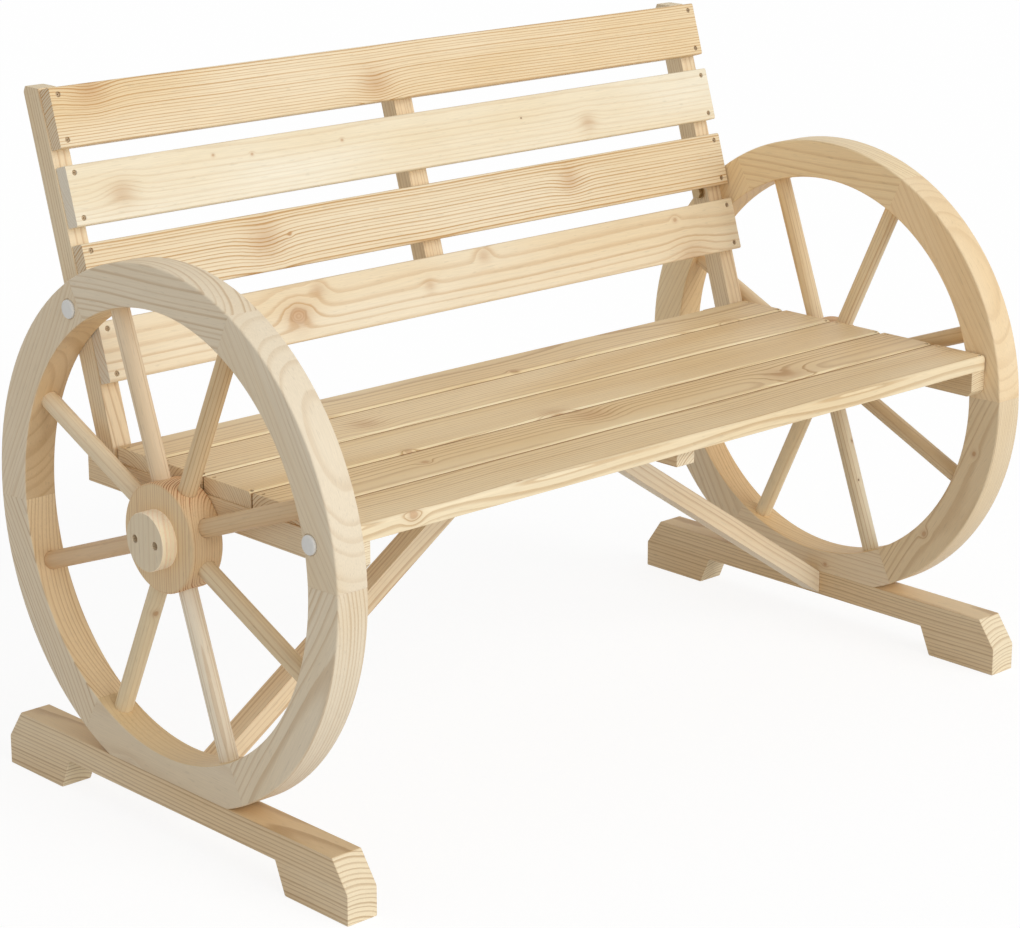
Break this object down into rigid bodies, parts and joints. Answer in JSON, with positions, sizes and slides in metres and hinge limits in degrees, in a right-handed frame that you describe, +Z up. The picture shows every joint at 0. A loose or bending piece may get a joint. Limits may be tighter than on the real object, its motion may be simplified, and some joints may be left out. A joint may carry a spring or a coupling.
{
  "type": "wagon wheel garden bench",
  "caption": "Garden bench of planed softwood: slatted seat and raked slat back carried between spoked wagon wheels on arched skids, with diagonal struts below",
  "frame": {"origin": "on the ground, midway between the two wheels and midway along the skids", "axes": "+Z up; -Y is the front, where the sitter's legs are; +X is to the right as one faces the bench from the front; both wheels' axles lie along X"},
  "size_m": [1.106, 0.592, 0.7745],
  "materials": {
    "planed_fir": "planed and bare, pale with tan growth lines and orange-brown knots",
    "white_plastic": "smooth satin white",
    "zinc_steel": "bright zinc plate"
  },
  "bodies": {
    "root": {"back_batten": "planed_fir", "back_post_left": "planed_fir", "back_post_right": "planed_fir", "back_slat_1": "planed_fir", "back_slat_2": "planed_fir", "back_slat_3": "planed_fir", "back_slat_4": "planed_fir", "brace_left": "planed_fir", "brace_right": "planed_fir", "felloe_left_1": "planed_fir", "felloe_left_2": "planed_fir", "felloe_left_3": "planed_fir", "felloe_left_4": "planed_fir", "felloe_left_5": "planed_fir", "felloe_left_6": "planed_fir", "felloe_right_1": "planed_fir", "felloe_right_2": "planed_fir", "felloe_right_3": "planed_fir", "felloe_right_4": "planed_fir", "felloe_right_5": "planed_fir", "felloe_right_6": "planed_fir", "hub_cap_left": "planed_fir", "hub_cap_right": "planed_fir", "hub_left": "planed_fir", "hub_right": "planed_fir", "lag_screws": "zinc_steel", "lag_washers": "zinc_steel", "rim_caps_left": "white_plastic", "rim_caps_right": "white_plastic", "seat_bearer_centre": "planed_fir", "seat_bearer_left": "planed_fir", "seat_bearer_right": "planed_fir", "seat_slat_1": "planed_fir", "seat_slat_2": "planed_fir", "seat_slat_3": "planed_fir", "seat_slat_4": "planed_fir", "seat_slat_5": "planed_fir", "skid_left": "planed_fir", "skid_right": "planed_fir", "spoke_left_1": "planed_fir", "spoke_left_2": "planed_fir", "spoke_left_3": "planed_fir", "spoke_left_4": "planed_fir", "spoke_left_5": "planed_fir", "spoke_left_6": "planed_fir", "spoke_left_7": "planed_fir", "spoke_left_8": "planed_fir", "spoke_right_1": "planed_fir", "spoke_right_2": "planed_fir", "spoke_right_3": "planed_fir", "spoke_right_4": "planed_fir", "spoke_right_5": "planed_fir", "spoke_right_6": "planed_fir", "spoke_right_7": "planed_fir", "spoke_right_8": "planed_fir"}
  },
  "joints": []
}
